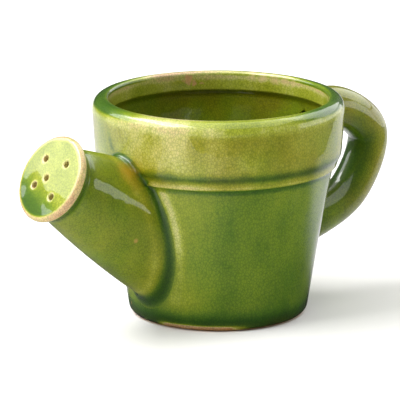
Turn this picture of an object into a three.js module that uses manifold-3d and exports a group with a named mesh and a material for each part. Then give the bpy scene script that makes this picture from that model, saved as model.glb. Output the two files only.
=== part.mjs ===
// A small glazed watering-can planter: a flowerpot body with a collar, a hollow wedge spout
// that ends in a five-hole rose, and a thick hollow-cast loop handle. Millimetres, +Z up.
// The origin is on the pot's axis at the table; the spout points along -X, the handle along +X.
import * as THREE from 'three';
import { mergeVertices } from 'three/addons/utils/BufferGeometryUtils.js';
import Module from 'manifold-3d';

const wasm = await Module();
wasm.setup();

// ---- driving dimensions ----
const CLEAR = 0.3; // gap kept between neighbouring clay pieces
const WALL = 5.6; // thickness of the cast pot wall
const SIDES = 64; // facets round the pot

const POT = {
  height: 106,
  rimRadius: 61.3, // outside of the collar at the lip
  mouthRadius: 53.5, // clear opening of the mouth
  collarDrop: 26.4, // lip down to the lower turn of the collar face
  bevelDrop: 6.2, // height of the bevelled band under the collar face
  shoulderRadius: 55.8, // body just below the collar
  footRadius: 43.8, // body just above the foot rounding
  footRound: 4.4,
  floor: 6,
};
const ROSE = { reach: 103.4, height: 82.2, tilt: 28.6, radius: 21.4, thickness: 4.6 };
// the five hand-pierced holes, from the middle of the rose: towards +Y, upwards, and the bore's radius
const ROSE_HOLES = [
  { side: 1.5, rise: -0.6, bore: 1.35 },
  { side: 7.5, rise: 8.2, bore: 1.65 },
  { side: -8.1, rise: 8.3, bore: 1.65 },
  { side: 8.2, rise: -5.3, bore: 1.65 },
  { side: -6.5, rise: -8.5, bore: 1.65 },
];
const SPOUT = {
  neckStep: 4.2, // the neck is this much smaller than the rose
  wall: 4.4,
  rootReach: 44.5,
  rootHeight: 45,
  rootTall: 33.8, // half height of the flattened root
  rootWide: 19.2, // half width of the flattened root
  rootTilt: -2.5,
  wallBore: 11, // hole through the pot wall into the spout
};
const HANDLE = {
  radius: 10,
  wall: 4.4,
  rootDrop: 17.6, // centreline of the upper root below the lip
  crownDrop: 15,
  crownReach: 13.7, // reaches are counted from the outside of the collar
  bendDrop: 31,
  bendReach: 35.6,
  elbowRise: 17.5, // above the lower root
  elbowReach: 23.2,
  tailHeight: 29.5,
  ventRadius: 3,
};
const FILLET = { spout: 2, handle: 1.6, rose: 1.3 }; // widths of the luted slip joints

// ---- sizes that follow ----
const collarFaceZ = POT.height - POT.collarDrop;
const ledgeZ = collarFaceZ - POT.bevelDrop;
const lipRound = (POT.rimRadius - POT.mouthRadius) / 2;
const faceRadius = POT.rimRadius - 1.4;
const ledgeRadius = POT.shoulderRadius + 1.8;
const axis = new THREE.Vector3(
  -Math.cos(THREE.MathUtils.degToRad(ROSE.tilt)), 0, Math.sin(THREE.MathUtils.degToRad(ROSE.tilt)),
);
const roseCentre = new THREE.Vector3(-ROSE.reach, 0, ROSE.height);
const neckCentre = roseCentre.clone().addScaledVector(axis, -ROSE.thickness - CLEAR);
const neckRadius = ROSE.radius - SPOUT.neckStep;
const handleRootZ = POT.height - HANDLE.rootDrop;

// ---- solids ----
function solid(geometry) {
  const bare = geometry.index ? geometry.toNonIndexed() : geometry.clone();
  bare.deleteAttribute('normal');
  bare.deleteAttribute('uv');
  const merged = mergeVertices(bare, 1e-4);
  const corners = merged.index.array;
  const kept = [];
  for (let i = 0; i < corners.length; i += 3) {
    const [a, b, c] = [corners[i], corners[i + 1], corners[i + 2]];
    if (a !== b && b !== c && c !== a) kept.push(a, b, c);
  }
  return new wasm.Manifold(new wasm.Mesh({
    numProp: 3,
    vertProperties: new Float32Array(merged.attributes.position.array),
    triVerts: new Uint32Array(kept),
  }));
}

function geometryOf(manifold) {
  const mesh = manifold.getMesh();
  const geometry = new THREE.BufferGeometry();
  geometry.setAttribute('position', new THREE.BufferAttribute(new Float32Array(mesh.vertProperties), 3));
  geometry.setIndex(new THREE.BufferAttribute(new Uint32Array(mesh.triVerts), 1));
  geometry.computeVertexNormals();
  return geometry;
}

function arc(centreR, centreZ, radius, fromDegrees, toDegrees, steps) {
  const points = [];
  for (let i = 0; i <= steps; i++) {
    const angle = THREE.MathUtils.degToRad(fromDegrees + ((toDegrees - fromDegrees) * i) / steps);
    points.push(new THREE.Vector2(centreR + radius * Math.cos(angle), centreZ + radius * Math.sin(angle)));
  }
  return points;
}

// A lathe about Z; the profile runs from the bottom outward and up.
function turned(points, sides = SIDES) {
  const geometry = new THREE.LatheGeometry(points, sides);
  geometry.rotateX(Math.PI / 2);
  return solid(geometry);
}

// Outside of the pot below the lip: foot rounding, slightly hollow taper, bevel and collar face.
function outline(grow) {
  const points = arc(
    POT.footRadius - POT.footRound, POT.footRound, POT.footRound + grow, -90, -8, 5,
  );
  const taperFrom = POT.footRound + 3;
  const taperSteps = 5;
  for (let i = 0; i <= taperSteps; i++) {
    const t = i / taperSteps;
    const hollow = 0.35 * Math.sin(Math.PI * t);
    points.push(new THREE.Vector2(
      THREE.MathUtils.lerp(POT.footRadius + 0.6, POT.shoulderRadius, t) - hollow + grow,
      THREE.MathUtils.lerp(taperFrom, ledgeZ - 0.6 - grow, t),
    ));
  }
  points.push(
    new THREE.Vector2(ledgeRadius + grow, ledgeZ - grow),
    new THREE.Vector2(faceRadius + grow, collarFaceZ - grow * 0.5),
    new THREE.Vector2(POT.rimRadius + grow, POT.height - lipRound * 1.6),
  );
  return points;
}

function potOutside(grow = 0) {
  const axisStart = new THREE.Vector2(0, -grow);
  const lip = arc(POT.rimRadius - lipRound, POT.height - lipRound, lipRound + grow, 0, 90, 5);
  const axisEnd = new THREE.Vector2(0, POT.height + grow);
  return turned([axisStart, ...outline(grow), ...lip, axisEnd]);
}

// The space inside the pot: a rounded floor corner, a tapered wall and the rolled lip.
function potInside() {
  const band = 4.6;
  const innerFoot = POT.footRadius - WALL;
  const corner = 5;
  return turned([
    new THREE.Vector2(0, POT.floor),
    ...arc(innerFoot - corner, POT.floor + corner, corner, -90, -6, 4),
    new THREE.Vector2(POT.shoulderRadius - WALL, ledgeZ - WALL / 2),
    new THREE.Vector2(faceRadius - WALL, collarFaceZ),
    new THREE.Vector2(POT.rimRadius - WALL, POT.height - lipRound - band - 2),
    new THREE.Vector2(POT.mouthRadius, POT.height - lipRound - band),
    ...arc(POT.rimRadius - lipRound, POT.height - lipRound, lipRound, 180, 90, 5),
    new THREE.Vector2(POT.rimRadius - lipRound, POT.height + 5),
    new THREE.Vector2(0, POT.height + 5),
  ]);
}

// A closed cylinder whose rings are laid along the spout: round at the neck and tall and
// narrow at the root. It runs on past both ends by the given lengths.
function spoutForm(grow, pastNeck, pastRoot) {
  const geometry = new THREE.CylinderGeometry(1, 1, 1, 40, 8);
  const position = geometry.attributes.position;
  const root = new THREE.Vector3(-SPOUT.rootReach, 0, SPOUT.rootHeight);
  const length = neckCentre.distanceTo(root);
  for (let i = 0; i < position.count; i++) {
    const along = THREE.MathUtils.lerp(
      -pastNeck / length, 1 + pastRoot / length, position.getY(i) + 0.5,
    );
    const tilt = THREE.MathUtils.degToRad(THREE.MathUtils.lerp(ROSE.tilt, SPOUT.rootTilt, along));
    const tall = THREE.MathUtils.lerp(neckRadius, SPOUT.rootTall, along) + grow;
    const wide = THREE.MathUtils.lerp(neckRadius, SPOUT.rootWide, along) + grow;
    const centre = neckCentre.clone().lerp(root, along);
    const upward = position.getX(i) * tall;
    position.setXYZ(
      i,
      centre.x + upward * Math.sin(tilt),
      position.getZ(i) * wide,
      centre.z + upward * Math.cos(tilt),
    );
  }
  return solid(geometry);
}

// A solid of revolution about the spout axis; profile heights count forward from the rose's face.
function onRose(points) {
  const geometry = new THREE.LatheGeometry(points, 40);
  geometry.applyQuaternion(
    new THREE.Quaternion().setFromUnitVectors(new THREE.Vector3(0, 1, 0), axis),
  );
  geometry.translate(roseCentre.x, roseCentre.y, roseCentre.z);
  return solid(geometry);
}

function rosePlate() {
  const edge = ROSE.thickness / 2;
  return onRose([
    new THREE.Vector2(0, -ROSE.thickness),
    ...arc(ROSE.radius - edge, -edge, edge, -90, 90, 6),
    new THREE.Vector2(0, 0),
  ]);
}

// A straight round bore; it starts at a point and runs along a direction.
function bore(from, direction, radius, length, sides = 16) {
  const geometry = new THREE.CylinderGeometry(radius, radius, length, sides);
  geometry.translate(0, length / 2, 0);
  geometry.applyQuaternion(
    new THREE.Quaternion().setFromUnitVectors(new THREE.Vector3(0, 1, 0), direction),
  );
  geometry.translate(from.x, from.y, from.z);
  return solid(geometry);
}

function roseBores() {
  const behind = roseCentre.clone().addScaledVector(axis, -ROSE.thickness * 2);
  const across = new THREE.Vector3(0, 1, 0);
  const upward = new THREE.Vector3(axis.z, 0, -axis.x);
  const length = ROSE.thickness * 3;
  const bores = [];
  for (const hole of ROSE_HOLES) {
    const from = behind.clone()
      .addScaledVector(across, hole.side)
      .addScaledVector(upward, hole.rise);
    bores.push(bore(from, axis, hole.bore, length));
  }
  return bores;
}

// The loop of the handle, from inside the collar over the crown and down to the body.
function handleTube(radius, sides) {
  const route = new THREE.CatmullRomCurve3([
    new THREE.Vector3(POT.shoulderRadius - WALL, 0, handleRootZ),
    new THREE.Vector3(POT.rimRadius + HANDLE.crownReach, 0, POT.height - HANDLE.crownDrop),
    new THREE.Vector3(POT.rimRadius + HANDLE.bendReach, 0, POT.height - HANDLE.bendDrop),
    new THREE.Vector3(POT.rimRadius + HANDLE.elbowReach, 0, HANDLE.tailHeight + HANDLE.elbowRise),
    new THREE.Vector3(POT.footRadius - 2, 0, HANDLE.tailHeight),
  ], false, 'centripetal');
  const section = new THREE.Shape().absarc(0, 0, radius, 0, 2 * Math.PI);
  return solid(new THREE.ExtrudeGeometry(section, {
    extrudePath: route, steps: 28, curveSegments: sides, bevelEnabled: false,
  }));
}

// ---- pieces ----
const potForm = potOutside();
const potGrown = potOutside(CLEAR);
const outward = new THREE.Vector3(1, 0, 0);
const spoutBore = bore(
  new THREE.Vector3(-SPOUT.rootReach + WALL * 2, 0, SPOUT.rootHeight - 4), axis,
  SPOUT.wallBore, WALL * 6, 28,
);
const upperVent = bore(
  new THREE.Vector3(POT.mouthRadius - WALL, 0, handleRootZ), outward, HANDLE.ventRadius, WALL * 3,
);
const lowerVent = bore(
  new THREE.Vector3(POT.footRadius - WALL * 2, 0, HANDLE.tailHeight + 1), outward,
  HANDLE.ventRadius, WALL * 4,
);
const potBody = potForm.subtract(potInside()).subtract(spoutBore)
  .subtract(upperVent).subtract(lowerVent);

const spoutOuter = spoutForm(0, 0, 0);
const spoutTube = spoutOuter.subtract(spoutForm(-SPOUT.wall, 6, 6)).subtract(potGrown);

const rose = roseBores().reduce((plate, hole) => plate.subtract(hole), rosePlate());

const handleLoop = handleTube(HANDLE.radius, 10)
  .subtract(handleTube(HANDLE.radius - HANDLE.wall, 6)).subtract(potGrown);

// A bead of slip round a root: near both the pot and the joined piece, and inside neither.
function lutedJoint(swollenPiece, clearedPiece, width) {
  return swollenPiece.intersect(potOutside(CLEAR + width)).subtract(clearedPiece).subtract(potGrown);
}
const spoutFillet = lutedJoint(
  spoutForm(FILLET.spout + CLEAR, 0, 0), spoutForm(CLEAR, 6, 6), FILLET.spout,
);
const handleFillets = lutedJoint(
  handleTube(HANDLE.radius + FILLET.handle + CLEAR, 10), handleTube(HANDLE.radius + CLEAR, 10),
  FILLET.handle,
);
const aboveMiddle = solid(new THREE.BoxGeometry(80, 80, 80).translate(80, 0, ledgeZ - 10 + 40));
const upperFillet = handleFillets.intersect(aboveMiddle);
const lowerFillet = handleFillets.subtract(aboveMiddle);

const roseFillet = onRose([
  new THREE.Vector2(neckRadius - 1, -ROSE.thickness - CLEAR),
  new THREE.Vector2(neckRadius - 1, -ROSE.thickness - CLEAR - FILLET.rose * 2),
  new THREE.Vector2(neckRadius + FILLET.rose * 0.7, -ROSE.thickness - CLEAR - FILLET.rose * 2),
  new THREE.Vector2(neckRadius + FILLET.rose, -ROSE.thickness - CLEAR),
  new THREE.Vector2(neckRadius - 1, -ROSE.thickness - CLEAR),
]).subtract(spoutForm(CLEAR, 6, 0));

// ---- materials ----
function glaze(colour, roughness) {
  return new THREE.MeshStandardMaterial({ color: colour, roughness, metalness: 0 });
}
const greenGlaze = glaze('#8da147', 0.16);
const paleGlaze = glaze('#a3ab5c', 0.16);
const pooledGlaze = glaze('#4d7420', 0.14);
const thinGlaze = glaze('#b9a06a', 0.2);

function piece(name, manifold, material) {
  const mesh = new THREE.Mesh(geometryOf(manifold), material);
  mesh.name = name;
  return mesh;
}

const wateringCan = new THREE.Group();
wateringCan.add(
  piece('pot_body', potBody, greenGlaze),
  piece('spout_tube', spoutTube, paleGlaze),
  piece('rose_plate', rose, greenGlaze),
  piece('handle_loop', handleLoop, paleGlaze),
  piece('spout_slip_joint', spoutFillet, pooledGlaze),
  piece('rose_slip_joint', roseFillet, thinGlaze),
  piece('handle_upper_slip_joint', upperFillet, pooledGlaze),
  piece('handle_lower_slip_joint', lowerFillet, pooledGlaze),
);

export default wateringCan;
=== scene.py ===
"""A glazed watering-can planter on a pale floor: slip-cast clay under a translucent crackle glaze."""
import math

import bpy
from mathutils import Matrix, Vector, kdtree, noise


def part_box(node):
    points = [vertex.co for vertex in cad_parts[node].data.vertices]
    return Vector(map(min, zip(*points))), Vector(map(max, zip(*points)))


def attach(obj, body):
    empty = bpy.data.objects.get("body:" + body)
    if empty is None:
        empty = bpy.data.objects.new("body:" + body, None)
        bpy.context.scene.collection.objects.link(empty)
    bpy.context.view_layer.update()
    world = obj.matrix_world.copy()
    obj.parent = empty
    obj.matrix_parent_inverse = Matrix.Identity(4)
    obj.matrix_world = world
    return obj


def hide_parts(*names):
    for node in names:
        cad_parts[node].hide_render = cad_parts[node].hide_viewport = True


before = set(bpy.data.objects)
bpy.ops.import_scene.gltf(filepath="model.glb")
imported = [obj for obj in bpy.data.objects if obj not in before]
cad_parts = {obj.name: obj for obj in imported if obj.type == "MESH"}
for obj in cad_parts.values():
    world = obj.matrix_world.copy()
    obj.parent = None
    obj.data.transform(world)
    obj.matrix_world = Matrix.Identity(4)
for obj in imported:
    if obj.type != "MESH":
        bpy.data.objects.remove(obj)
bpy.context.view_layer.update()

MM = 0.001

# ---- sizes of the can ----
pot_low, pot_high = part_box("pot_body")
HEIGHT = pot_high[2]
RIM = pot_high[0]  # outside of the collar at the lip
WALL = 5.6 * MM
MOUTH = RIM - 7.8 * MM
SHOULDER = RIM - 5.5 * MM  # body just under the collar
FOOT = RIM - 17.5 * MM
FOOT_ROUND = 4.4 * MM
FLOOR = 6 * MM
COLLAR_TURN = HEIGHT - 26.4 * MM  # lower end of the collar's face
LEDGE = COLLAR_TURN - 6.2 * MM  # lower edge of the bevelled band
LIP_INNER = 1.5 * MM  # tight rounding inside the mouth
LIP_DROP = 5.6 * MM  # the lip rounds over this far down the outside
LIP_TOP = HEIGHT + 1.1 * MM  # its inner edge stands a little proud
LIP_BAND = 8.5 * MM  # height of the smooth band inside the lip

rose_low, rose_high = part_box("rose_plate")
ROSE_TILT = math.radians(28.6)
ROSE_RADIUS = (rose_high[1] - rose_low[1]) / 2
ROSE_THICK = 4.6 * MM
ROSE_AXIS = Vector((-math.cos(ROSE_TILT), 0, math.sin(ROSE_TILT)))
ROSE_UP = Vector((math.sin(ROSE_TILT), 0, math.cos(ROSE_TILT)))
ACROSS = Vector((0, 1, 0))
ROSE_BACK = (Vector(rose_low) + Vector(rose_high)) / 2 - ROSE_AXIS * ROSE_THICK / 2
ROSE_BACK.y = 0
ROSE_HOLE = 1.65 * MM
ROSE_HOLES = [  # hand-pierced, so not quite even: (across, up) from the middle
    (1.5 * MM, -0.6 * MM),
    (7.5 * MM, 8.2 * MM),
    (-8.1 * MM, 8.3 * MM),
    (8.2 * MM, -5.3 * MM),
    (-6.5 * MM, -8.5 * MM),
]

NECK = ROSE_RADIUS - 4.2 * MM
ROOT = Vector((-44.5, 0, 45)) * MM  # middle of the spout's flattened root
ROOT_TALL = 33.8 * MM
ROOT_WIDE = 19.2 * MM
ROOT_TILT = math.radians(-2.5)
SPOUT_WALL = 4.4 * MM
SPOUT_BORE = 11 * MM

HANDLE_RADIUS = 10 * MM
HANDLE_TOP = HEIGHT - 17.6 * MM  # centreline of the upper root
HANDLE_TAIL = 29.5 * MM
VENT = 3 * MM  # radius of the hole that let the handle breathe in the kiln
LIP_FULLNESS = 0.8  # how square the lip's quarter turn is, 1 being round
BEAD_PULL = 0.72  # how closely a bead hugs its corner
BEAD_SINK = 0.03 * MM  # its edges lie this far under the clay they run on to


# ---- shaping curves ----
def bell(distance, width):
    return math.exp(-((distance / width) ** 2))


def ramp(value, low, high):
    """0 below low, 1 above high, and a smooth step between."""
    t = min(max((value - low) / (high - low), 0.0), 1.0)
    return t * t * (3 - 2 * t)


# ---- modelling helpers ----
def deselect():
    if bpy.context.object and bpy.context.object.mode != "OBJECT":
        bpy.ops.object.mode_set(mode="OBJECT")
    bpy.ops.object.select_all(action="DESELECT")


def arc(centre, radius, start, end, count):
    """Points of an arc in (radius, height); the angles are in degrees from the outward direction."""
    points = []
    for i in range(count + 1):
        angle = math.radians(start + (end - start) * i / count)
        points.append((centre[0] + radius * math.cos(angle), centre[1] + radius * math.sin(angle)))
    return points


def run(start, end, spacing=1.3 * MM, bow=0.0):
    """Evenly spaced points after start up to end, bowed inwards by bow at the middle."""
    count = max(1, round(math.dist(start, end) / spacing))
    points = []
    for i in range(1, count + 1):
        t = i / count
        radius = start[0] + (end[0] - start[0]) * t - bow * math.sin(math.pi * t)
        points.append((radius, start[1] + (end[1] - start[1]) * t))
    return points


def spun(name, outline, steps):
    """An outline of (radius, height) drawn vertex by vertex and spun round Z into a closed form."""
    deselect()
    bpy.ops.mesh.primitive_plane_add(size=MM, location=(0, 0, 0))
    piece = bpy.context.object
    piece.name = name
    bpy.ops.object.mode_set(mode="EDIT")
    bpy.ops.mesh.select_all(action="SELECT")
    bpy.ops.mesh.merge(type="CENTER")
    bpy.ops.transform.translate(value=(outline[0][0], 0, outline[0][1]))
    for before, after in zip(outline, outline[1:]):
        step = (after[0] - before[0], 0, after[1] - before[1])
        bpy.ops.mesh.extrude_region_move(TRANSFORM_OT_translate={"value": step})
    bpy.ops.mesh.select_all(action="SELECT")
    bpy.ops.mesh.spin(steps=steps, angle=math.tau, center=(0, 0, 0), axis=(0, 0, 1))
    close_up(piece)
    return piece


def close_up(piece, gap=0.02 * MM):
    """Merges seams and poles, fills open ends and points the faces outwards."""
    deselect()
    piece.select_set(True)
    bpy.context.view_layer.objects.active = piece
    bpy.ops.object.mode_set(mode="EDIT")
    bpy.ops.mesh.select_all(action="SELECT")
    bpy.ops.mesh.remove_doubles(threshold=gap)
    bpy.ops.mesh.fill_holes(sides=0)
    bpy.ops.mesh.select_all(action="SELECT")
    bpy.ops.mesh.normals_make_consistent(inside=False)
    bpy.ops.object.mode_set(mode="OBJECT")
    bpy.ops.object.shade_smooth()


def rolled(name, around, along, surface):
    """A grid rolled into a tube: surface(turn, way) places a vertex, both counted from 0 to 1."""
    deselect()
    bpy.ops.mesh.primitive_grid_add(x_subdivisions=around, y_subdivisions=along, size=1)
    piece = bpy.context.object
    piece.name = name
    for vertex in piece.data.vertices:
        vertex.co = surface(vertex.co.x + 0.5, vertex.co.y + 0.5)
    close_up(piece)
    return piece


def carve(piece, tool):
    """Cuts the tool's form out of the piece and removes the tool."""
    deselect()
    piece.select_set(True)
    bpy.context.view_layer.objects.active = piece
    cut = piece.modifiers.new("cut", "BOOLEAN")
    cut.operation = "DIFFERENCE"
    cut.solver = "EXACT"
    cut.object = tool
    bpy.ops.object.modifier_apply(modifier=cut.name)
    bpy.data.objects.remove(tool, do_unlink=True)


def drill(start, direction, radius, length, sides=48):
    """A round bit from start along direction."""
    deselect()
    turn = direction.to_track_quat("Z", "Y").to_euler()
    bpy.ops.mesh.primitive_cylinder_add(
        vertices=sides, radius=radius, depth=length,
        location=start + direction * length / 2, rotation=turn,
    )
    return bpy.context.object


# ---- surfaces of the clay ----
def pot_outline():
    """Outside of the pot from the foot to the top of the lip, as (radius, height)."""
    points = arc((FOOT - FOOT_ROUND, FOOT_ROUND), FOOT_ROUND, -90, -8, 12)
    points += run(points[-1], (SHOULDER, LEDGE - 0.7 * MM), bow=0.35 * MM)
    points += arc((SHOULDER + 0.9 * MM, LEDGE - 0.7 * MM), 0.7 * MM, 170, 100, 4)
    edge = SHOULDER + 1.8 * MM
    points += arc((edge - 0.5 * MM, LEDGE + 0.5 * MM), 0.5 * MM, -80, -20, 4)
    face = RIM - 1.4 * MM
    points += run(points[-1], (face - 0.5 * MM, COLLAR_TURN - 1.2 * MM), 0.9 * MM, bow=0.15 * MM)
    points += run(points[-1], (face, COLLAR_TURN + 0.6 * MM), 0.6 * MM, bow=-0.12 * MM)
    points += run(points[-1], (RIM - 0.1 * MM, HEIGHT - LIP_DROP - 0.2 * MM), bow=-0.1 * MM)
    width = RIM - 0.1 * MM - MOUTH - LIP_INNER
    for i in range(15):
        angle = math.radians(90 * i / 14)
        out = math.cos(angle) ** LIP_FULLNESS
        rise = math.sin(angle) ** LIP_FULLNESS
        drop = (LIP_DROP + LIP_TOP - HEIGHT) * (1 - rise)
        points.append((MOUTH + LIP_INNER + width * out, LIP_TOP - drop))
    return points


def inside_outline():
    """Inside of the pot from the top of the lip down to the floor's corner."""
    points = arc((MOUTH + LIP_INNER, LIP_TOP - LIP_INNER), LIP_INNER, 98, 180, 8)
    band_end = HEIGHT - LIP_BAND
    points += run(points[-1], (MOUTH, band_end + 1.2 * MM), 0.8 * MM)
    points += arc((MOUTH + 1.2 * MM, band_end + 1.0 * MM), 1.2 * MM, 185, 250, 5)
    points += run(points[-1], (RIM - WALL - 0.3 * MM, band_end - 2.2 * MM), 0.8 * MM)
    points += run(points[-1], (RIM - 1.4 * MM - WALL, COLLAR_TURN))
    points += run(points[-1], (SHOULDER - WALL, LEDGE - WALL / 2))
    corner = 5 * MM
    inner_foot = FOOT - WALL
    points += run(points[-1], (inner_foot, FLOOR + corner))
    points += arc((inner_foot - corner, FLOOR + corner), corner, -8, -90, 8)
    return points


OUTSIDE = pot_outline()


def pot_radius(height):
    """Outside radius of the pot at a height."""
    if height <= OUTSIDE[0][1]:
        return OUTSIDE[0][0]
    for low, high in zip(OUTSIDE, OUTSIDE[1:]):
        if low[1] <= height <= high[1] and high[1] > low[1]:
            share = (height - low[1]) / (high[1] - low[1])
            return low[0] + (high[0] - low[0]) * share
    return OUTSIDE[-1][0]


def on_pot(point):
    """The point moved straight out or in to the pot's outside."""
    flat = Vector((point.x, point.y, 0)).normalized() * pot_radius(point.z)
    return Vector((flat.x, flat.y, point.z))


def pot_normal(point):
    step = 0.4 * MM
    outward = Vector((point.x, point.y, 0)).normalized()
    slope = (pot_radius(point.z + step) - pot_radius(point.z - step)) / (2 * step)
    return (outward - Vector((0, 0, slope))).normalized()


def spout_surface(turn, way, shrink=0.0):
    """Round at the neck (way 0), tall and narrow at the root inside the pot (way 1)."""
    angle = math.tau * turn
    tilt = ROSE_TILT + (ROOT_TILT - ROSE_TILT) * way
    behind = way * (ROOT - ROSE_BACK).length
    neck = 2.9 * MM * bell(behind, 2.6 * MM) - 0.5 * MM * bell(behind - 5.8 * MM, 1.5 * MM)
    tall = NECK + (ROOT_TALL - NECK) * way - shrink + neck
    wide = NECK + (ROOT_WIDE - NECK) * way - shrink + neck
    centre = ROSE_BACK.lerp(ROOT, way)
    up = Vector((math.sin(tilt), 0, math.cos(tilt)))
    return centre + up * (tall * math.cos(angle)) + ACROSS * (wide * math.sin(angle))


HANDLE_ROUTE = [
    Vector((SHOULDER - WALL, 0, HANDLE_TOP)),
    Vector((RIM + 13.7 * MM, 0, HEIGHT - 15 * MM)),
    Vector((RIM + 35.6 * MM, 0, HEIGHT - 31 * MM)),
    Vector((RIM + 23.2 * MM, 0, HANDLE_TAIL + 17.5 * MM)),
    Vector((FOOT - 2 * MM, 0, HANDLE_TAIL)),
]


def handle_centre(way):
    """Centripetal Catmull-Rom curve through the handle's route."""
    ends = [HANDLE_ROUTE[0] * 2 - HANDLE_ROUTE[1], HANDLE_ROUTE[-1] * 2 - HANDLE_ROUTE[-2]]
    route = [ends[0], *HANDLE_ROUTE, ends[1]]
    place = min(max(way, 0.0), 0.99999) * (len(HANDLE_ROUTE) - 1)
    first = int(place)
    a, b, c, d = route[first:first + 4]
    knots = [0.0]
    for p, q in ((a, b), (b, c), (c, d)):
        knots.append(knots[-1] + math.sqrt((q - p).length))
    t = knots[1] + (knots[2] - knots[1]) * (place - first)

    def between(p, q, i, j):
        return p + (q - p) * ((t - knots[i]) / (knots[j] - knots[i]))

    ab, bc, cd = between(a, b, 0, 1), between(b, c, 1, 2), between(c, d, 2, 3)
    return between(between(ab, bc, 0, 2), between(bc, cd, 1, 3), 1, 2)


def handle_surface(turn, way):
    centre = handle_centre(way)
    ahead = (handle_centre(way + 0.01) - handle_centre(way - 0.01)).normalized()
    side = ahead.cross(ACROSS)
    angle = math.tau * turn
    return centre + (side * math.cos(angle) + ACROSS * math.sin(angle)) * HANDLE_RADIUS


def crease(surface, outer, inner, count):
    """Where a joined form enters the pot: one (turn, way) for each of count turns."""
    found = []
    for i in range(count):
        turn = i / count
        outside, inside = outer, inner
        for _ in range(30):
            middle = (outside + inside) / 2
            point = surface(turn, middle)
            if math.hypot(point.x, point.y) > pot_radius(point.z):
                outside = middle
            else:
                inside = middle
        found.append((turn, outside))
    return found


def slip_bead(name, surface, seam, way_out, reach, steps=14):
    """A concave bead of slip that runs from a joined form on to the pot's wall along a seam.

    way_out is the sense in which the form's way leads out of the pot, and reach(turn) is how far
    the bead spreads from the corner. Its hidden side lies inside the clay.
    """
    count = len(seam)
    corners = [surface(turn, way) for turn, way in seam]
    middle = sum(corners, Vector()) / count
    rows = []
    for i, (turn, way) in enumerate(seam):
        corner = corners[i]
        normal = pot_normal(corner)
        along = (corners[(i + 2) % count] - corners[i - 2]).normalized()
        spread = along.cross(normal).normalized()
        if spread.dot(corner - middle) < 0:
            spread = -spread
        width = reach(turn)
        small = 0.002 * way_out
        pace = (surface(turn, way + small) - corner).length / 0.002
        start = surface(turn, way + way_out * width / pace)
        end = on_pot(corner + spread * width)
        inner = corner - (start + end - corner * 2) * 0.25
        first = start.lerp(corner, BEAD_PULL)
        second = end.lerp(corner, BEAD_PULL)
        row = []
        for k in range(steps + 1):
            t = k / steps
            point = start * (1 - t) ** 3 + first * (3 * t * (1 - t) ** 2)
            point += second * (3 * t * t * (1 - t)) + end * t ** 3
            row.append(point - normal * BEAD_SINK)
        rows.append([*row, inner])
    across = len(rows[0])

    def place(turn, way):
        return rows[round(turn * count) % count][round(way * across) % across]

    return rolled(name, count, across, place)


# ---- pieces ----
def make_pot():
    outline = [(0, 0.5 * MM)] + run((0, 0.5 * MM), (FOOT - FOOT_ROUND - 4 * MM, 0.5 * MM), 3 * MM)
    outline += OUTSIDE + inside_outline()
    outline += run(outline[-1], (0, FLOOR), 3 * MM)
    pot = spun("pot", outline, 240)
    bore_start = ROOT + Vector((WALL * 2, 0, -4 * MM))
    carve(pot, drill(bore_start, ROSE_AXIS, SPOUT_BORE, WALL * 6))
    carve(pot, drill(Vector((MOUTH - WALL, 0, HANDLE_TOP)), Vector((1, 0, 0)), VENT, WALL * 3))
    return pot


def into_wall(point):
    """Keeps the end of a joined form within the middle of the pot's wall."""
    radius = math.hypot(point.x, point.y)
    middle = pot_radius(point.z) - WALL / 2
    if radius >= middle:
        return point
    return Vector((point.x * middle / radius, point.y * middle / radius, point.z))


def make_spout():
    """The luted-on spout, hollow from the rose to the hole through the pot's wall."""
    spout = rolled("spout", 200, 90, lambda turn, way: into_wall(spout_surface(turn, way)))
    hollow = rolled(
        "hollow", 64, 30, lambda turn, way: spout_surface(turn, 1.3 * way - 0.02, SPOUT_WALL))
    carve(spout, hollow)
    close_up(spout)
    return spout


def make_rose():
    half = ROSE_THICK / 2
    outline = [(0, 0)] + run((0, 0), (ROSE_RADIUS - half, 0), 1.2 * MM)
    outline += arc((ROSE_RADIUS - half, half), half, -90, 72, 12)
    outline += run(outline[-1], (0, ROSE_THICK + 0.7 * MM), 1.2 * MM)
    rose = spun("rose", outline, 128)
    for across, up in ROSE_HOLES:
        start = Vector((across, up, -2 * MM))
        carve(rose, drill(start, Vector((0, 0, 1)), ROSE_HOLE, ROSE_THICK * 2, 24))
    deselect()
    rose.select_set(True)
    bpy.context.view_layer.objects.active = rose
    even = rose.modifiers.new("even", "REMESH")
    even.mode = "VOXEL"
    even.voxel_size = 0.42 * MM
    bpy.ops.object.modifier_apply(modifier=even.name)
    soften = rose.modifiers.new("soften", "SMOOTH")
    soften.iterations = 3
    bpy.ops.object.modifier_apply(modifier=soften.name)
    turn = Matrix((ACROSS, ROSE_UP, ROSE_AXIS)).transposed().to_4x4()
    rose.data.transform(Matrix.Translation(ROSE_BACK) @ turn)
    close_up(rose)
    return rose


def make_handle():
    """The loop, from inside the collar's wall to inside the body's wall."""
    return rolled("handle", 72, 170, lambda turn, way: into_wall(handle_surface(turn, way)))


def spout_reach(turn):
    """The bead is widest under the spout, where the slip was worked into the angle."""
    low = 0.5 - 0.5 * math.cos(math.tau * turn)
    return (3.2 + 2.6 * low) * MM


spout_seam = crease(spout_surface, 0.0, 1.0, 220)
upper_seam = crease(handle_surface, 0.2, 0.0, 120)
lower_seam = crease(handle_surface, 0.8, 1.0, 120)
seam_points = [spout_surface(*place) for place in spout_seam]
upper_points = [handle_surface(*place) for place in upper_seam]
lower_points = [handle_surface(*place) for place in lower_seam]

pot = make_pot()
spout = make_spout()
rose = make_rose()
handle = make_handle()
spout_bead = slip_bead("spout_bead", spout_surface, spout_seam, -1, spout_reach)
upper_bead = slip_bead(
    "handle_upper_bead", handle_surface, upper_seam, 1, lambda turn: 2.6 * MM)
lower_bead = slip_bead(
    "handle_lower_bead", handle_surface, lower_seam, -1, lambda turn: 2.6 * MM)


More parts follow.
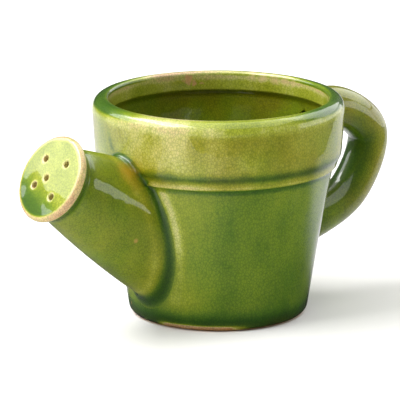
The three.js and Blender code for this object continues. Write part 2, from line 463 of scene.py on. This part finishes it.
# ---- glaze depth, with painted light and shade ----
# The glaze is painted thinner and paler towards this side of the can, which the key lamp lights, and
# deeper at both ends of the lip along it: partly a thinner coat, partly painted light and painted shade.
# It is fixed to the can. Some of it is a guess: light on the glaze looks much the same.
LIT_SIDE = Vector((-0.77, 0.64, 0))


def tree_of(points):
    tree = kdtree.KDTree(len(points))
    for i, point in enumerate(points):
        tree.insert(point, i)
    tree.balance()
    return tree


SPOUT_SEAM = tree_of(seam_points)
HANDLE_SEAM = tree_of(upper_points + lower_points)


def pooled(point):
    """Extra depth where the glaze ran into the seams."""
    spout_gap = SPOUT_SEAM.find(point)[2]
    handle_gap = HANDLE_SEAM.find(point)[2]
    run_down = 1 - ramp(point.z, 14 * MM, 48 * MM)
    return 1.15 * bell(spout_gap, (2.0 + 1.4 * run_down) * MM) + 0.7 * bell(handle_gap, 2.0 * MM)


def pot_depth_and_light(point, normal):
    """Glaze depth and warmth over the pot: 0 is bare, 1 is the usual coat, 2.5 is a deep pool; painted
    light and shade are folded into the depth.
    """
    radius = math.hypot(point.x, point.y)
    height = point.z
    outside = radius > pot_radius(min(height, HEIGHT - LIP_DROP)) - WALL / 2
    if height < HEIGHT - 1 * MM and not outside:
        band = ramp(height, HEIGHT - 9.5 * MM, HEIGHT - 8 * MM)
        depth = 1.15 - 0.6 * band - 0.35 * bell(height - (HEIGHT - 1.5 * MM), 1.6 * MM)
        return depth, 1.0 - 0.75 * band
    collar = ramp(height, LEDGE - 0.2 * MM, LEDGE + 0.6 * MM)
    depth = 1.0 + 0.15 * (1 - height / LEDGE) * (1 - collar)
    # painted shade: a band round the foot is painted deeper, where the rounded foot mirrors its contact
    # shadow
    depth += 0.95 * bell(height - 3 * MM, 5 * MM)
    toward_lit_side = point.dot(LIT_SIDE) / radius
    # painted light in part: the body under the collar is painted paler towards the lit side
    body = (1 - collar) * ramp(height, 4 * MM, 16 * MM)
    depth -= (0.55 * ramp(toward_lit_side, -0.25, 0.7) - 0.1) * body
    bare = ramp(toward_lit_side, -0.5, 0.0) * (1 - ramp(toward_lit_side, 0.55, 0.8))
    bare *= 1 - ramp(point.y, -12 * MM, 0)
    depth -= 2.6 * bare * (1 - ramp(height, 1.8 * MM, 4.4 * MM))
    depth += 0.7 * bell(height - (LEDGE - 1.2 * MM), 1.1 * MM)
    # painted light in part: the collar's glaze is painted thinner and paler towards the lit side, though
    # not at its far edge
    thinning_and_light = 0.3 + 0.3 * ramp(toward_lit_side, -0.2, 0.4) - 0.35 * ramp(toward_lit_side, 0.6, 0.95)
    depth -= (thinning_and_light - 0.15 * noise.noise(point * 55)) * collar
    drips = noise.noise(Vector((point.x, point.y, 0)) * 95)
    above = height - (COLLAR_TURN - 0.7 * MM)
    spread = (1.9 + max(0.0, 3.2 * drips) * (above > 0)) * MM
    depth += (1.0 + 0.3 * drips) * bell(above, spread)
    depth -= 0.2 * bell(height - (LEDGE + 0.7 * MM), 0.8 * MM)
    lip = ramp(height, HEIGHT - 8 * MM, HEIGHT - 3 * MM)
    depth -= 0.22 * lip * (1 - ramp(height, HEIGHT - 2.4 * MM, HEIGHT - 0.9 * MM))
    # painted shade: the top of the lip is painted deeper at its two ends, towards the lit side and away
    # from it
    ends = ramp(abs(toward_lit_side), 0.55, 0.9)
    top = ramp(height, HEIGHT - 2.6 * MM, HEIGHT - 1.2 * MM)
    depth += (0.85 * ends - 0.05) * top
    depth -= 0.5 * bell(radius - MOUTH - 0.8 * MM, 0.8 * MM) * top
    # painted highlight: the pot is painted paler in a strip about 5.5 mm from the spout's seam, for the
    # lamp's reflection beside it
    beside = bell(SPOUT_SEAM.find(point)[2] - 5.5 * MM, 2.6 * MM) * (1 - collar)
    depth += pooled(point) - 0.42 * beside * ramp(height, 22 * MM, 52 * MM)
    warmth = 0.55 * collar * (1 - lip) + bell(height, 4 * MM)
    return depth, warmth


def spout_depth(point, normal):
    nearness = (point - ROSE_BACK).dot(ROSE_AXIS)
    depth = 1.0 + 0.9 * bell(nearness + 2.5 * MM, 2.2 * MM) + pooled(point)
    seam_gap = SPOUT_SEAM.find(point)[2]
    depth -= 0.35 * bell(seam_gap - 8 * MM, 3.5 * MM)
    warmth = 0.35 + 0.5 * bell(seam_gap - 9 * MM, 5 * MM) * ramp(normal.z, 0.0, 0.8)
    return depth, warmth


def rose_depth_and_light(point, normal):
    offset = point - ROSE_BACK
    across, up, ahead = offset.dot(ACROSS), offset.dot(ROSE_UP), offset.dot(ROSE_AXIS)
    radius = math.hypot(across, up)
    # painted reflection and painted shade in part: the face's thin pale glaze stands partly for the
    # lamp's reflection, and it is painted deeper towards its lower left, where that reflection falls off
    lower = ramp(-up + 0.35 * across, 3 * MM, 19 * MM)
    depth = 0.58 + 0.15 * ramp(across, 0.0, 14 * MM) + 1.0 * lower
    edge = ramp(radius, ROSE_RADIUS - 3.2 * MM, ROSE_RADIUS - 1.4 * MM)
    depth += (0.07 - depth) * edge * ramp(ahead, -0.5 * MM, 1.2 * MM)
    for centre in ROSE_HOLES:
        gap = math.hypot(across - centre[0], up - centre[1])
        depth += (0.12 - depth) * bell(max(gap - ROSE_HOLE, 0), 1.0 * MM)
    depth += 1.2 * bell(ahead, 0.8 * MM) * ramp(radius, NECK - 2 * MM, NECK)
    return depth, 0.1 + 0.3 * edge


def handle_depth_and_shade(point, normal):
    # painted shade: the side of the loop that faces the pot is painted deeper, greener and less warm
    shaded_inside = ramp(-normal.x, -0.2, 0.9)
    lower = 1 - ramp(point.z, 30 * MM, 60 * MM)
    depth = 0.85 + 0.95 * shaded_inside + 0.35 * lower + pooled(point)
    return depth, 0.85 - 0.6 * shaded_inside


def bead_depth(point, normal):
    return 1.0 + pooled(point), 0.2


def coat(piece, depth_of):
    """Writes how deep and how warm the glaze lies at each vertex, for the material to read; the depth
    also carries painted light and shade.
    """
    mesh = piece.data
    depth = mesh.attributes.new("glaze_depth_and_light", "FLOAT", "POINT")
    warmth = mesh.attributes.new("glaze_warmth", "FLOAT", "POINT")
    for i, vertex in enumerate(mesh.vertices):
        depth.data[i].value, warmth.data[i].value = depth_of(vertex.co, vertex.normal)


# ---- materials ----
def colour(code):
    """sRGB hex to linear RGBA."""
    values = []
    for i in (1, 3, 5):
        value = int(code[i:i + 2], 16) / 255
        values.append(value / 12.92 if value <= 0.04045 else ((value + 0.055) / 1.055) ** 2.4)
    return (*values, 1.0)


def add(tree, kind, inputs=None, **settings):
    """Adds a node, sets its properties, and fills or links its inputs by name or number."""
    made = tree.nodes.new(kind)
    for name, value in settings.items():
        setattr(made, name, value)
    for name, value in (inputs or {}).items():
        if isinstance(value, bpy.types.NodeSocket):
            tree.links.new(value, made.inputs[name])
        else:
            made.inputs[name].default_value = value
    return made


def spot(tree, place, centre, radius, soft, cover, under, over):
    """Lays a colour over another within radius of a point on the can, fading over soft."""
    gap = add(tree, "ShaderNodeVectorMath", {0: place, 1: centre}, operation="DISTANCE")
    mask = add(tree, "ShaderNodeMapRange",
               {"Value": gap.outputs["Value"], "From Min": radius, "From Max": radius + soft,
                "To Min": cover, "To Max": 0.0}).outputs[0]
    return add(tree, "ShaderNodeMix", {0: mask, 6: under, 7: colour(over)},
               data_type="RGBA").outputs[2]


def colour_bands(tree, value, stops):
    """A colour ramp over value; stops are (place, hex)."""
    made = add(tree, "ShaderNodeValToRGB", {"Fac": value})
    band = made.color_ramp
    band.elements[0].position, band.elements[0].color = stops[0][0], colour(stops[0][1])
    band.elements[1].position, band.elements[1].color = stops[-1][0], colour(stops[-1][1])
    for place, code in stops[1:-1]:
        band.elements.new(place).color = colour(code)
    return made.outputs["Color"]


# middle in mm, radius, soft edge, cover and colour
BARE_SPOTS_AND_HIGHLIGHTS = [
    ((21.5, 49.8, 103.6), 1.9, 1.2, 0.75, "#d69a72"),
    ((24.4, 47.9, 101.6), 0.5, 1.0, 0.7, "#d69a72"),
    ((27.8, 46.0, 101.4), 0.4, 0.9, 0.6, "#cf9a70"),
    ((29.6, 44.8, 103.2), 0.3, 0.8, 0.5, "#cf9a70"),
    # painted highlight in part: these cream spots on the back of the rim's top are partly thin glaze
    # breaking over the rim and partly the lamp's highlight there
    ((47.0, 29.4, 105.2), 1.0, 2.2, 0.8, "#dcc590"),
    ((49.4, 24.0, 105.0), 1.0, 2.2, 0.8, "#dcc590"),
    ((51.5, 17.6, 104.8), 1.0, 2.2, 0.75, "#d8bd86"),
    ((53.0, 11.5, 104.6), 0.8, 2.0, 0.7, "#d8bd86"),
    ((53.9, 5.8, 104.4), 0.6, 1.8, 0.6, "#d8bd86"),
    ((-64.8, -11.4, 81.8), 1.5, 6.0, 0.65, "#b98a1c"),
    ((-62.5, -15.5, 76.0), 1.0, 5.0, 0.4, "#a8861a"),
    ((-60.2, 8.2, 92.2), 0.7, 2.2, 0.7, "#3f6404"),
    ((-60.4, 7.4, 89.0), 0.9, 1.8, 0.75, "#335a02"),
    ((-60.0, 9.5, 96.0), 0.3, 2.6, 0.5, "#507a0a"),
]
PINHOLES = [
    ((-65.5, -18.1, 48.5), 0.35, 1.3, 0.75, "#c98f50"),
    ((-65.5, -18.1, 48.9), 0.25, 0.25, 0.8, "#6b4410"),
    ((-40.8, 17.0, 6.5), 0.3, 0.8, 0.7, "#c98f50"),
]


def bare_clay():
    """Bisque-fired buff earthenware, wiped clean of glaze under the foot: matt and a little sandy."""
    material = bpy.data.materials.new("bisque_clay")
    material.use_nodes = True
    tree = material.node_tree
    shader = tree.nodes["Principled BSDF"]
    place = add(tree, "ShaderNodeTexCoord").outputs["Object"]
    # grog of about 0.6 mm in the clay
    grog = add(tree, "ShaderNodeTexNoise",
               {"Vector": place, "Scale": 1600, "Detail": 2, "Roughness": 0.6}).outputs["Fac"]
    tone = colour_bands(tree, grog, [(0.3, "#b98d62"), (0.5, "#cba377"), (0.7, "#dab98f")])
    relief = add(tree, "ShaderNodeBump", {"Strength": 0.4, "Distance": 0.0001, "Height": grog})
    tree.links.new(tone, shader.inputs["Base Color"])
    tree.links.new(relief.outputs[0], shader.inputs["Normal"])
    shader.inputs["Roughness"].default_value = 0.85
    shader.inputs["IOR"].default_value = 1.5
    shader.inputs["Specular IOR Level"].default_value = 0.3
    return material


def crackle_glaze():
    """Translucent lead-free copper glaze over buff clay: it shows the clay where it breaks thin over
    an edge, turns deep green where it pools, and its fine cracks hold a little more colour. The depth
    it reads also carries painted light and shade."""
    material = bpy.data.materials.new("crackle_glaze")
    material.use_nodes = True
    tree = material.node_tree
    shader = tree.nodes["Principled BSDF"]
    place = add(tree, "ShaderNodeTexCoord").outputs["Object"]
    depth = add(tree, "ShaderNodeAttribute", attribute_name="glaze_depth_and_light").outputs["Fac"]
    warmth = add(tree, "ShaderNodeAttribute", attribute_name="glaze_warmth").outputs["Fac"]
    # clouds of uneven depth, drawn out downwards as the glaze ran: about 12 mm by 25 mm
    runs = add(tree, "ShaderNodeMapping", {"Vector": place, "Scale": (1, 1, 0.5)}).outputs[0]
    cloud = add(tree, "ShaderNodeTexNoise",
                {"Vector": runs, "Scale": 80, "Detail": 3, "Roughness": 0.5}).outputs["Fac"]
    fine = add(tree, "ShaderNodeTexNoise",
               {"Vector": place, "Scale": 700, "Detail": 2, "Roughness": 0.6}).outputs["Fac"]
    cloudy = add(tree, "ShaderNodeMath", {0: cloud, 1: -0.5}, operation="ADD").outputs[0]
    deeper = add(tree, "ShaderNodeMath", {0: cloudy, 1: 0.7, 2: depth},
                 operation="MULTIPLY_ADD").outputs[0]
    speck = add(tree, "ShaderNodeMath", {0: fine, 1: -0.5}, operation="ADD").outputs[0]
    deep = add(tree, "ShaderNodeMath", {0: speck, 1: 0.35, 2: deeper},
               operation="MULTIPLY_ADD").outputs[0]
    share = add(tree, "ShaderNodeMath", {0: deep, 1: 0.4}, operation="MULTIPLY").outputs[0]
    green = colour_bands(tree, share, [
        (0.0, "#d6b48c"), (0.04, "#d8c48e"), (0.12, "#cccb78"), (0.2, "#aab23c"),
        (0.3, "#8c9a18"), (0.42, "#708a0e"), (0.56, "#4c7006"), (0.74, "#2d5800"), (1.0, "#173e00"),
    ])
    amber = colour_bands(tree, share, [
        (0.0, "#b4701c"), (0.05, "#cda45a"), (0.12, "#cdb962"), (0.25, "#9c9222"), (0.42, "#78760a"),
        (0.65, "#525a00"), (1.0, "#2a3a00"),
    ])
    patch = add(tree, "ShaderNodeTexNoise",
                {"Vector": place, "Scale": 38, "Detail": 2, "Roughness": 0.5}).outputs["Fac"]
    uneven = add(tree, "ShaderNodeMapRange",
                 {"Value": patch, "From Min": 0.35, "From Max": 0.65, "To Min": 0.35,
                  "To Max": 1.25}).outputs[0]
    warm = add(tree, "ShaderNodeMath", {0: warmth, 1: uneven}, operation="MULTIPLY").outputs[0]
    tone = add(tree, "ShaderNodeMix", {0: warm, 6: green, 7: amber}, data_type="RGBA").outputs[2]
    # crazing: a net of cells about 1.2 mm wide and 1.7 mm tall; real hairlines are far finer than
    # the soft lines of up to 0.4 mm drawn here, which are that coarse so that they show at all
    strayed = add(tree, "ShaderNodeMapping", {"Vector": place, "Scale": (1, 1, 0.7)}).outputs[0]
    cells = add(tree, "ShaderNodeTexVoronoi", {"Vector": strayed, "Scale": 850, "Randomness": 1},
                feature="DISTANCE_TO_EDGE").outputs["Distance"]
    line = add(tree, "ShaderNodeMapRange",
               {"Value": cells, "From Min": 0.02, "From Max": 0.16, "To Min": 1, "To Max": 0}).outputs[0]
    stained = add(tree, "ShaderNodeMix", {6: tone, 7: colour("#5f8a1c")}, data_type="RGBA",
                  blend_type="MULTIPLY")
    stained.inputs[0].default_value = 1.0
    hairline = add(tree, "ShaderNodeMath", {0: line, 1: 0.38}, operation="MULTIPLY").outputs[0]
    finish = add(tree, "ShaderNodeMix", {0: hairline, 6: tone, 7: stained.outputs[2]},
                 data_type="RGBA").outputs[2]
    # pinholes and bare spots where the glaze crawled off the clay, and a painted highlight on the back
    # of the rim, with edges that stray by 2 mm
    stray = add(tree, "ShaderNodeTexNoise", {"Vector": place, "Scale": 420, "Detail": 2})
    drift = add(tree, "ShaderNodeVectorMath", {0: stray.outputs["Color"], 1: (0.5, 0.5, 0.5)},
                operation="SUBTRACT").outputs[0]
    ragged = add(tree, "ShaderNodeVectorMath", {0: drift, 1: (0.004, 0.004, 0.004), 2: place},
                 operation="MULTIPLY_ADD").outputs[0]
    for where, radius, soft, cover, over in BARE_SPOTS_AND_HIGHLIGHTS:
        finish = spot(tree, ragged, Vector(where) * MM, radius * MM, soft * MM, cover, finish, over)
    for where, radius, soft, cover, over in PINHOLES:
        finish = spot(tree, place, Vector(where) * MM, radius * MM, soft * MM, cover, finish, over)
    tree.links.new(finish, shader.inputs["Base Color"])
    # the glassy top: long shallow waves from the brush and the run of the melt, 17 mm apart
    waves = add(tree, "ShaderNodeTexNoise",
                {"Vector": place, "Scale": 60, "Detail": 1, "Roughness": 0.35}).outputs["Fac"]
    swell = add(tree, "ShaderNodeBump", {"Strength": 1.0, "Distance": 0.0007, "Height": waves})
    grain = add(tree, "ShaderNodeBump",
                {"Strength": 0.25, "Distance": 0.0002, "Height": line, "Normal": swell.outputs[0]},
                invert=True)
    tree.links.new(grain.outputs[0], shader.inputs["Normal"])
    tree.links.new(swell.outputs[0], shader.inputs["Coat Normal"])
    shader.inputs["Roughness"].default_value = 0.38
    shader.inputs["IOR"].default_value = 1.5
    shader.inputs["Specular IOR Level"].default_value = 0.25
    shader.inputs["Coat Weight"].default_value = 1.0
    shader.inputs["Coat Roughness"].default_value = 0.03
    shader.inputs["Coat IOR"].default_value = 1.55
    return material


glaze = crackle_glaze()
for piece, depth_of in (
    (pot, pot_depth_and_light), (spout, spout_depth), (rose, rose_depth_and_light), (handle, handle_depth_and_shade),
    (spout_bead, bead_depth), (upper_bead, bead_depth), (lower_bead, bead_depth),
):
    coat(piece, depth_of)
    piece.data.materials.append(glaze)

pot.data.materials.append(bare_clay())
for face in pot.data.polygons:
    if face.center.z < 0.9 * MM:
        face.material_index = 1

for piece, slot, nodes in (
    (pot, "green_glaze", ["pot_body"]),
    (spout, "green_glaze", ["spout_tube"]),
    (rose, "green_glaze", ["rose_plate", "rose_slip_joint"]),
    (handle, "green_glaze", ["handle_loop"]),
    (spout_bead, "pooled_glaze", ["spout_slip_joint"]),
    (upper_bead, "pooled_glaze", ["handle_upper_slip_joint"]),
    (lower_bead, "pooled_glaze", ["handle_lower_slip_joint"]),
):
    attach(piece, "root")
    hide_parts(*nodes)

# ---- floor, lights and camera ----
deselect()
bpy.ops.mesh.primitive_plane_add(size=12, location=(0, 0, 0))
floor = bpy.context.object
floor.name = "floor"

VIEW_TURN = math.radians(39.5)
VIEW_RISE = math.radians(14.2)
DISTANCE = 2.0
FIELD = 195 * MM
back = Vector((
    -math.sin(VIEW_TURN) * math.cos(VIEW_RISE),
    -math.cos(VIEW_TURN) * math.cos(VIEW_RISE),
    math.sin(VIEW_RISE),
))
right = Vector((math.cos(VIEW_TURN), -math.sin(VIEW_TURN), 0))
target = Vector((0, 0, HEIGHT / 2)) - right * 8.9 * MM + back.cross(right) * 1.7 * MM
bpy.ops.object.camera_add(
    location=target + back * DISTANCE, rotation=back.to_track_quat("Z", "Y").to_euler(),
)
camera = bpy.context.object
camera.data.sensor_width = 36
camera.data.lens = 36 * DISTANCE / FIELD
bpy.context.scene.camera = camera
world = bpy.data.worlds.new("studio")
bpy.context.scene.world = world
world.use_nodes = True
studio = world.node_tree.nodes["Background"]
studio.inputs["Color"].default_value = (0.05, 0.05, 0.05, 1)
level = Vector((back.x, back.y, 0)).normalized()
bpy.context.scene.view_settings.view_transform = "Standard"


def soft_box(name, turn, rise, distance, width, height, brightness):
    """A soft box that faces the can; turn and rise in degrees, turn to the right of the camera.

    brightness is how bright its face looks, where white paper in full light is 1.
    """
    sideways, upwards = math.radians(turn), math.radians(rise)
    direction = level * math.cos(sideways) + right * math.sin(sideways)
    direction = direction * math.cos(upwards) + Vector((0, 0, math.sin(upwards)))
    deselect()
    bpy.ops.object.light_add(
        type="AREA", location=Vector((0, 0, 50 * MM)) + direction * distance,
        rotation=direction.to_track_quat("Z", "Y").to_euler(),
    )
    lamp = bpy.context.object
    lamp.name = name
    lamp.data.shape = "RECTANGLE"
    lamp.data.size = width
    lamp.data.size_y = height
    lamp.data.energy = brightness * math.pi * width * height
    return lamp


soft_box("left_box", -88, 38, 1.1, 1.4, 0.7, 3.2)
soft_box("upper_left_box", -84, 58, 1.2, 1.2, 0.55, 7.0)
soft_box("right_box", 134, 34, 1.1, 1.0, 0.8, 2.0)
soft_box("right_low_box", 130, 4, 1.1, 0.9, 0.3, 1.6)
soft_box("strip_box", 92, 7, 1.0, 0.5, 0.46, 2.0)
soft_box("top_box", 20, 84, 1.5, 2.6, 2.6, 1.3)


def dark_card(name, turn, distance):
    """A dark card on edge that only reflections see: it ends the white table in the glaze."""
    sideways = math.radians(turn)
    direction = level * math.cos(sideways) + right * math.sin(sideways)
    deselect()
    bpy.ops.mesh.primitive_plane_add(
        size=1, location=direction * distance + Vector((0, 0, 0.03)),
        rotation=direction.to_track_quat("Z", "Y").to_euler(),
    )
    card = bpy.context.object
    card.name = name
    card.dimensions = (0.62, 0.058, 0)
    bpy.ops.object.transform_apply(location=False, rotation=False, scale=True)
    card.visible_camera = False
    card.visible_diffuse = False
    card.visible_shadow = False
    card.data.materials.append(felt)


felt = bpy.data.materials.new("black_felt")
felt.use_nodes = True
felt.node_tree.nodes["Principled BSDF"].inputs["Base Color"].default_value = colour("#0b0b0b")
felt.node_tree.nodes["Principled BSDF"].inputs["Roughness"].default_value = 1.0
felt.node_tree.nodes["Principled BSDF"].inputs["Specular IOR Level"].default_value = 0.0
dark_card("front_card", 14, 0.275)
dark_card("right_card", 74, 0.27)


def table_paper():
    """Matt white paper sweep; the glaze mirrors it dimmer, and dimmest on the side away from the
    key lamp, so that the reflection doesn't wash out the green."""
    material = bpy.data.materials.new("white_paper_sweep")
    material.use_nodes = True
    tree = material.node_tree
    shader = tree.nodes["Principled BSDF"]
    place = add(tree, "ShaderNodeTexCoord").outputs["Object"]
    beside = add(tree, "ShaderNodeVectorMath", {0: place, 1: right * 0.8 - level * 0.6},
                 operation="DOT_PRODUCT").outputs["Value"]
    key_side = add(tree, "ShaderNodeMapRange",
                   {"Value": beside, "From Min": -0.3, "From Max": -0.03, "To Min": 0.52,
                    "To Max": 0.05}).outputs[0]
    behind = add(tree, "ShaderNodeVectorMath", {0: place, 1: level},
                 operation="DOT_PRODUCT").outputs["Value"]
    back_side = add(tree, "ShaderNodeMapRange",
                    {"Value": behind, "From Min": -0.06, "From Max": -0.01, "To Min": 0.5,
                     "To Max": 0.0}).outputs[0]
    shade = add(tree, "ShaderNodeMath", {0: key_side, 1: back_side}, operation="MAXIMUM").outputs[0]
    mirrored = add(tree, "ShaderNodeLightPath").outputs["Is Glossy Ray"]
    tone = add(tree, "ShaderNodeMix", {0: mirrored, 6: colour("#f6f5f2"), 7: shade},
               data_type="RGBA").outputs[2]
    tree.links.new(tone, shader.inputs["Base Color"])
    shader.inputs["Roughness"].default_value = 0.9
    shader.inputs["Specular IOR Level"].default_value = 0.1
    return material


floor.data.materials.append(table_paper())
